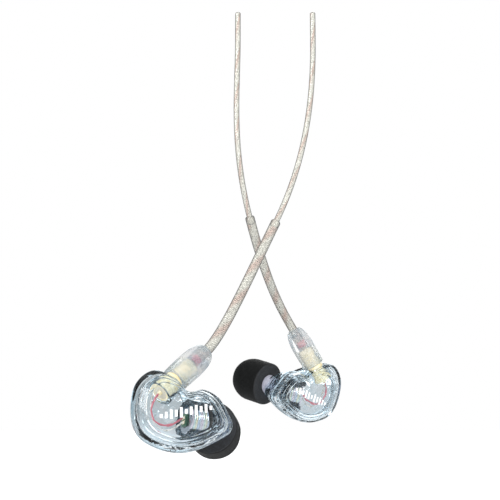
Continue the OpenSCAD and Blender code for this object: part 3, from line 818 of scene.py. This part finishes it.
def sound_chamber(side):
    """A smoked funnel that turns from the driver's gasket to the nozzle's root."""
    start, end = DRIVER_AT + CHAMBER_FROM * DRIVER, TIP_SEAT - CHAMBER_STOP * NOZZLE
    u = unit(np.cross(DRIVER, NOZZLE))
    angles = all_round(96)

    def wall(r_start, r_end):
        """Rings from the wide end to the narrow one."""
        lines = []
        for a in angles:
            p = start + r_start * (u * math.cos(a) + np.cross(DRIVER, u) * math.sin(a))
            q = end + r_end * (u * math.cos(a) + np.cross(NOZZLE, u) * math.sin(a))
            pull = 0.4 * np.linalg.norm(q - p)
            lines.append(bezier([p, p + pull * DRIVER, q - pull * NOZZLE, q], np.linspace(0, 1, 20)))
        return np.swapaxes(np.array(lines), 0, 1)

    rings = np.concatenate([wall(CAN_R, 1.9), wall(CAN_R - 0.4, 1.5)[::-1]])
    faces = grid_faces(len(rings), len(angles), close_rows=True)
    piece(side.name + "_sound_chamber_finished", side.place(rings.reshape(-1, 3)), faces,
          side.name + "_earphone", "smoked_plastic", [side.name + "_sound_chamber"])


RING_SLOT, RING_R = 0.6, 1.6


def snap_ring(side):
    opening = math.asin(RING_SLOT / 2 / RING_R)
    profile = rounded([(1.53, -2.65), (1.76, -2.65), (1.76, -2.15), (1.53, -2.15)], 0.07)
    points, faces = revolved(profile, 90, opening, 2 * math.pi - opening)
    piece(f"{side.name}_snap_ring_finished", side.place(along("plug", points)), faces,
          side.name + "_snap_ring_turning", "steel", [side.name + "_snap_ring"])


# ---- foam ear tip ----
FOAM_R, FOAM_LEN, FOAM_BORE = 6.5, 12.5, 2.72
DOME_FROM = 6  # where the foam's straight side ends
GRAIN_STEP = 0.13


def foam_tip(side):
    """Slow-recovery foam: a domed cylinder with rounded rims and an open-celled, slightly uneven skin."""
    dome = FOAM_LEN - DOME_FROM
    arc = [(FOAM_R * math.cos(a), DOME_FROM + dome * math.sin(a))
           for a in np.radians(np.arange(6, 73, 6))]
    corners = [(FOAM_BORE, 0.02), (FOAM_R - 0.5, 0.02), (FOAM_R - 0.12, 0.16), (FOAM_R, 0.55),
               (FOAM_R, DOME_FROM), *arc, (1.95, FOAM_LEN - 0.03), (1.68, FOAM_LEN - 0.15),
               (1.6, FOAM_LEN - 0.45), (1.6, 10.4), (FOAM_BORE, 10.4)]
    closed = np.array([(r, z, 0) for r, z in corners + corners[:1]], float)
    profile, _ = evenly(closed, GRAIN_STEP)
    points, faces = revolved(profile[:-1, :2], 300)
    # cut marks the flat base end, whose lighter colour in foam() is partly painted light
    cut = np.clip((0.3 - points[:, 2]) / 0.2, 0, 1)
    seed = Vector((3.7, 1.3, 0)) if side.name == "left" else Vector((8.1, 4.9, 2.2))
    radius = np.hypot(points[:, 0], points[:, 1])
    for i, p in enumerate(points):
        if radius[i] < FOAM_BORE + 0.15 and p[2] < FOAM_LEN - 1.9:
            continue
        at = Vector(p)
        grain = 0.030 * noise.noise(at * 2.6 + seed) + 0.016 * noise.noise(at * 6.1 + seed)
        dent = 0.07 * noise.noise(at * 0.32 + seed)
        outward = Vector((*p[:2] / radius[i], max(p[2] - DOME_FROM, 0) / dome))
        rim = min(1.0, p[2] / 0.4)
        points[i] = p + np.array(outward.normalized()) * (grain + dent - 0.07) * rim
    piece(f"{side.name}_foam_tip_finished", side.place(along("nozzle", points)), faces,
          side.name + "_ear_tip", "foam", [side.name + "_foam_tip"], {"cut": cut}, sharp=180)


# ---- cables ----
SLEEVE_R, SLEEVE_BORE, SLEEVE_FROM, BOOT_LEN = 1.3, 1.02, 8.8, 12.8
CABLE_R, CABLE_BORE, STRAIGHT_LEN = 0.775, 0.5, 8.0
TUCK = 2.0  # how far the thin cable reaches into the sleeve
TWIST_MM = 10.5  # length of one turn of the strands
STRAND_COPPER = [0.0, 0.0, 0.2, 0.5, 0.8, 0.9, 0.8, 0.6, 0.3, 0.1, 0.0, 0.0]
WIRE_TURNS_PER_MM = 2.2  # fine wires on each strand


def twisted(path, at, reach, strand_r, coppers, turn_mm=TWIST_MM):
    """Strands wound round the path. Returns the shape and its attributes."""
    parts, strand, wire = [], [], []
    for k, copper in enumerate(coppers):
        phase = 2 * math.pi * (at / turn_mm + k / len(coppers))
        shape = swept(path, strand_r, 12, (reach * np.cos(phase), reach * np.sin(phase)))
        parts.append(shape)
        around = np.tile(all_round(12), len(path))
        down = np.repeat(at, 12)
        strand.append(np.full(len(around), copper))
        wire.append(around * 5 + down * WIRE_TURNS_PER_MM * 2 * math.pi)
    points, faces = merged(parts)
    return points, faces, {"strand": np.concatenate(strand), "wire": np.concatenate(wire)}


def sleeve_path(side, start, stop=0.0):
    """From a distance along the boot's axis to the sleeve's top, less the stop."""
    tip = side.place(MOUTH + BOOT_LEN * PLUG)
    d = side.direction(PLUG)
    top, down = side.sleeve_top, SLEEVE_DOWN[side.name]
    span = np.linalg.norm(top - tip)
    straight = [side.place(MOUTH + k * PLUG) for k in np.arange(start, BOOT_LEN - 0.4, 0.25)]
    curve = bezier([tip, tip + 0.17 * span * d, top + 0.42 * span * down, top], np.linspace(0, 1, 240))
    path, at = evenly(np.concatenate([straight, curve]), 0.25)
    keep = at <= at[-1] - stop
    return path[keep], at[keep]


def cable_path(side):
    """From inside the sleeve up to the cable's cut end."""
    top = np.array(MOUNTS[side.name + "_cable_end"]["pos_m"]) / MM
    straight_from = top - [0, 0, STRAIGHT_LEN]
    down = SLEEVE_DOWN[side.name]
    low = side.sleeve_top - 0.25 * down
    tucked = [low + k * down for k in np.arange(TUCK, 0.1, -0.25)]
    curve = bezier([low, low - 21 * down, straight_from - [0, 0, 15], straight_from],
                   np.linspace(0, 1, 240))
    return evenly(np.concatenate([tucked, curve, [top]]), 0.25)


def rounded_ends(at, radius, bore, soft=0.25):
    """The outer radius of a tube whose two ends are rounded over."""
    end = np.minimum(at - at[0], at[-1] - at)
    closeness = np.clip(end / soft, 0, 1)
    return bore + (radius - bore) * (0.35 + 0.65 * np.sqrt(1 - (1 - closeness) ** 2))


def runs(path, n):
    """The path's direction at each point of a tube swept along it, as attributes."""
    tangents = directions(path)
    both = np.repeat(np.concatenate([tangents, tangents[::-1]]), n, axis=0)
    return {"run_" + k: both[:, i] for i, k in enumerate("XYZ")}


def tight_bore(faces):
    """The second finish of a swept tube: its bore is the second half of its faces."""
    return "tight_bore", [int(i >= len(faces) // 2) for i in range(len(faces))]


def cables(side):
    loop, harness = side.name + "_ear_loop", "cable_harness"
    name = side.name

    path, at = sleeve_path(side, SLEEVE_FROM)
    points, faces = swept(path, rounded_ends(at, SLEEVE_R, SLEEVE_BORE), 40, bore=SLEEVE_BORE)
    piece(f"{name}_ear_sleeve_finished", points, faces, loop, "clear_jacket", [name + "_ear_sleeve"],
          runs(path, 40), second=tight_bore(faces))

    path, at = sleeve_path(side, 6.6, TUCK - 0.2)
    points, faces = swept(path, 0.28, 16)
    piece(f"{name}_ear_wire_finished", points, faces, loop, "steel", [name + "_ear_wire"])

    path, at = sleeve_path(side, 6.2, TUCK - 0.2)
    points, faces, attributes = twisted(path, at, 0.72, 0.184, STRAND_COPPER)
    piece(f"{name}_ear_conductors_finished", points, faces, loop, "tinned_wire",
          [name + "_ear_conductors"], attributes)

    down = SLEEVE_DOWN[name]
    start, end = (side.sleeve_top - 7 * down) * MM, (side.sleeve_top + 1.2 * down) * MM
    bend = (harness, loop, tuple(start), tuple(end))
    path, at = cable_path(side)
    points, faces = swept(path, rounded_ends(at, CABLE_R, CABLE_BORE, 0.12), 32, bore=CABLE_BORE)
    piece(f"{name}_cable_jacket_finished", points, faces, harness, "clear_jacket",
          [name + "_cable_jacket"], runs(path, 32), bend, second=tight_bore(faces))
    points, faces, attributes = twisted(path, at, 0.25, 0.23, [0.0, 0.85, 0.35, 0.0])
    piece(f"{name}_cable_conductors_finished", points, faces, harness, "tinned_wire",
          [name + "_cable_conductors"], attributes, bend)


# ---- small pieces inside the shell ----
def lead(side, name, slot, start, over, under, end, r):
    path, _ = evenly(bezier([np.array(p, float) for p in (start, over, under, end)],
                            np.linspace(0, 1, 120)), 0.2)
    points, faces = swept(path, r, 16)
    piece(f"{side.name}_{name}_finished", side.place(points), faces, side.name + "_earphone", slot,
          [f"{side.name}_{name}"], {"strand": np.zeros(len(points)), "wire": points[:, 0] * 20})


def block(x0, x1, y0, y1, z0, z1, bevel):
    """A box with bevelled edges, as points and faces."""
    edit = bmesh.new()
    bmesh.ops.create_cube(edit, size=1)
    for v in edit.verts:
        v.co = Vector((x0 if v.co.x < 0 else x1, y0 if v.co.y < 0 else y1, z0 if v.co.z < 0 else z1))
    bmesh.ops.bevel(edit, geom=edit.edges[:], offset=bevel, segments=3, profile=0.5, affect="EDGES")
    edit.verts.index_update()
    points = np.array([v.co for v in edit.verts])
    faces = [tuple(v.index for v in f.verts) for f in edit.faces]
    edit.free()
    return points, faces


def bead(x, y, z, r, height):
    """A low solder bead on a face that looks down -Z."""
    profile = [(0, 0)] + [(r * math.cos(a), -height * math.sin(a)) for a in np.linspace(0, math.pi / 2, 9)]
    points, faces = revolved(profile, 24)
    return points + [x, y, z], faces


def terminal_board(side):
    back = CAN_BACK - 0.5
    body = side.name + "_earphone"
    points, faces = block(-1.5, 1.5, -1.1, 1.1, back, CAN_BACK - 0.02, 0.08)
    piece(f"{side.name}_terminal_board_finished", side.place(along("driver", points)), faces, body,
          "board", [side.name + "_terminal_board"])
    places = [(-0.55, 0.0), (0.55, 0.0)]
    pads = merged([block(x - 0.38, x + 0.38, -0.55, 0.55, back - 0.03, back + 0.02, 0.01)
                   for x, _ in places])
    piece(f"{side.name}_board_pads", side.place(along("driver", pads[0])), pads[1], body, "gold")
    beads = merged([bead(x, y, back - 0.03, 0.3, 0.22) for x, y in places])
    piece(f"{side.name}_solder_beads", side.place(along("driver", beads[0])), beads[1], body, "tinned_wire")


def face_mark(side):
    """A row of plain upright bars, like a level meter, printed across the face."""
    heights = [0.9, 1.5, 2.2, 1.6, 2.4, 1.1, 1.9, 2.3, 1.4, 2.0, 1.0]
    first, last = np.array([-5.2, 0.1]), np.array([6.2, 2.1])
    half_width, ink, steps = 0.31, 0.03, 9
    parts = []
    for k, height in enumerate(heights):
        x, z = first + (last - first) * k / (len(heights) - 1)
        surface = np.array([[(x + u, face_y(x + u, w), w)
                             for u in np.linspace(-half_width, half_width, 4)]
                            for w in np.linspace(z - height / 2, z + height / 2, steps)])
        front, rear = surface - [0, ink + 0.012, 0], surface - [0, 0.012, 0]
        points = np.concatenate([front.reshape(-1, 3), rear.reshape(-1, 3)])
        sheet = grid_faces(steps, 4, close_columns=False)
        count = steps * 4
        border = ([*range(4)] + [4 * j + 3 for j in range(1, steps)]
                  + [4 * (steps - 1) + i for i in (2, 1, 0)] + [4 * j for j in range(steps - 2, 0, -1)])
        faces = sheet + [tuple(i + count for i in f) for f in sheet]
        for i, j in zip(border, border[1:] + border[:1]):
            faces.append((i, j, j + count, i + count))
        parts.append((points, faces))
    points, faces = merged(parts)
    piece(f"{side.name}_face_mark", side.place(points), faces, side.name + "_earphone", "white_print")


TICKS_AT = (0.799, 0.813)  # shares of the way round the outline


def wall_ticks(side):
    """Two short dark ticks printed on the lower side wall, just in front of the seam."""
    parts = []
    for share in TICKS_AT:
        p, ahead = (np.array([np.interp(k, range(AROUND), SHELL_OUTLINE[:, c]) for c in (0, 1)])
                    for k in (share * AROUND, share * AROUND + 1))
        tangent = unit(ahead - p)
        out = unit(p - OUTLINE_MID)
        out = unit(out - (out @ tangent) * tangent)
        corners = [p + a * 0.1 * tangent + b * out for a, b in
                   [(-1, 0.01), (1, 0.01), (1, 0.04), (-1, 0.04)]]
        points = [(c[0], y, c[1]) for y in (1.5, 2.85) for c in corners]
        faces = [(0, 1, 2, 3), (4, 5, 6, 7)] + [(i, (i + 1) % 4, (i + 1) % 4 + 4, i + 4) for i in range(4)]
        parts.append((np.array(points), faces))
    points, faces = merged(parts)
    piece(f"{side.name}_wall_ticks", side.place(points), faces, side.name + "_earphone", "rubber")


OUTER_SHELL, INNER_SHELL = outer_shell_shape(), inner_shell_shape()


def earphone(side):
    name, body = side.name, side.name + "_earphone"
    for shape, node, inside in [(OUTER_SHELL, "outer_shell", "shell_inside"),
                                (INNER_SHELL, "inner_shell", "ear_side_glass")]:
        piece(f"{name}_{node}_finished", side.place(shape[0]), shape[1], body, "clear_shell",
              [f"{name}_{node}"], sharp=40, second=(inside, shape[2]))
    turned_pieces(side)
    sound_chamber(side)
    snap_ring(side)
    foam_tip(side)
    terminal_board(side)
    board_end = DRIVER_AT + (CAN_BACK - 0.55) * DRIVER
    lead(side, "signal_lead", "red_insulation", board_end + [-0.3, 0, 0.5], [-5.5, 2.6, -3.6],
         [-9.6, 1.6, 1.2], MOUTH - 5.75 * PLUG, 0.24)
    lead(side, "ground_lead", "tinned_wire", board_end + [-0.3, 0, -0.5], [-5, 3.6, -4.6],
         [-9, 4, -0.4], MOUTH - 5.2 * PLUG + [-1.5, 1.3, 0.8], 0.2)
    face_mark(side)
    wall_ticks(side)


for ear in SIDES:
    earphone(ear)
    cables(ear)


# ---- studio ----
def floor():
    """A large pale disc below the hanging earphones."""
    lowest = cad_box[0].z - 0.09
    size, rings = 4.0, 48
    points = [(0.0, 0.0, lowest)] + [
        (size * math.cos(a), size * math.sin(a), lowest) for a in all_round(rings)]
    faces = [(0, 1 + k, 1 + (k + 1) % rings) for k in range(rings)]
    mesh = bpy.data.meshes.new("floor")
    mesh.from_pydata(points, [], faces)
    f = Finish("floor")
    tone = f.ramp(f.noise(0.01, 2.0), (0.3, (0.70, 0.71, 0.72)), (0.7, (0.76, 0.77, 0.78)))
    paint = f.surface(Base_Color=tone, Roughness=0.9, Emission_Color=(1.0, 1.0, 1.0),
                      Emission_Strength=f.maths("MULTIPLY", f.ray("Camera"), 0.6))
    mesh.materials.append(f.done(paint))
    new_object("floor", mesh)


def world_light():
    """White all round to the camera; to the glass and metal, a bright tent with darker bands."""
    world = bpy.data.worlds.new("studio")
    bpy.context.scene.world = world
    n = Nodes(world)
    parts = n.add("ShaderNodeSeparateXYZ", {0: n.add("ShaderNodeTexCoord").outputs["Generated"]})

    def bands(axis, *stops):
        share = n.maths("MULTIPLY_ADD", parts.outputs[axis], 0.5, 0.5)
        return n.ramp(share, *((at, (0.985 * tone, 0.995 * tone, tone)) for at, tone in stops))

    def light(colour, strength):
        return n.add("ShaderNodeBackground", {"Color": colour, "Strength": strength}).outputs[0]

    upright = bands("Z", (0.0, 0.55), (0.24, 0.50), (0.38, 0.78), (0.60, 0.92), (0.70, 0.40),
                    (0.80, 0.30), (0.90, 1.0), (1.0, 1.2))
    sideways = bands("X", (0.0, 0.8), (0.06, 0.60), (0.16, 0.92), (0.30, 1.0), (0.42, 0.80),
                     (0.58, 1.0), (0.80, 0.95), (0.93, 0.5), (1.0, 0.7))
    tent = light(n.times(upright, sideways), 0.82)
    fill = light((0.99, 0.995, 1.0, 1), 1.05)
    lit = n.mix(n.ray("Diffuse"), tent, fill)
    n.show(n.mix(n.ray("Camera"), lit, light((1, 1, 1, 1), 1.0)), "ShaderNodeOutputWorld")


def soft_light(name, at, size, watts):
    """A large soft panel that faces the earphones."""
    lamp = bpy.data.lights.new(name, "AREA")
    lamp.size = size
    lamp.energy = watts
    obj = new_object(name, lamp)
    middle = (cad_box[0] + cad_box[1]) / 2
    obj.location = middle + Vector(at)
    obj.rotation_euler = (-Vector(at)).to_track_quat("-Z", "Y").to_euler()
    obj.visible_camera = False


# The camera stands in front, level with the earphones, and looks up a little at the cables.
CAMERA_AT = (-18.71, -267.07, -109.16)
CAMERA_YAW, CAMERA_PITCH = 0.00416, 0.1548
CAMERA_LENS = 71.9


def camera():
    data = bpy.data.cameras.new("camera")
    data.lens = CAMERA_LENS
    data.sensor_width = 36
    obj = new_object("camera", data)
    obj.location = Vector(CAMERA_AT) * MM
    look = Vector((math.sin(CAMERA_YAW) * math.cos(CAMERA_PITCH),
                   math.cos(CAMERA_YAW) * math.cos(CAMERA_PITCH), math.sin(CAMERA_PITCH)))
    obj.rotation_euler = look.to_track_quat("-Z", "Y").to_euler()
    data.clip_start = 0.001
    bpy.context.scene.camera = obj


floor()
world_light()
soft_light("key_panel", (-0.22, -0.30, 0.20), 0.15, 0.7)
soft_light("fill_panel", (0.30, -0.22, 0.02), 0.30, 0.3)
soft_light("back_panel", (0.05, 0.35, 0.12), 0.30, 0.4)
camera()

scene = bpy.context.scene
scene.view_settings.view_transform = "Standard"
scene.view_settings.look = "None"
scene.cycles.use_denoising = True
scene.cycles.max_bounces = 20
scene.cycles.transmission_bounces = 16
scene.cycles.transparent_max_bounces = 24
scene.cycles.caustics_reflective = False
scene.cycles.caustics_refractive = False
scene.cycles.sample_clamp_indirect = 4.0
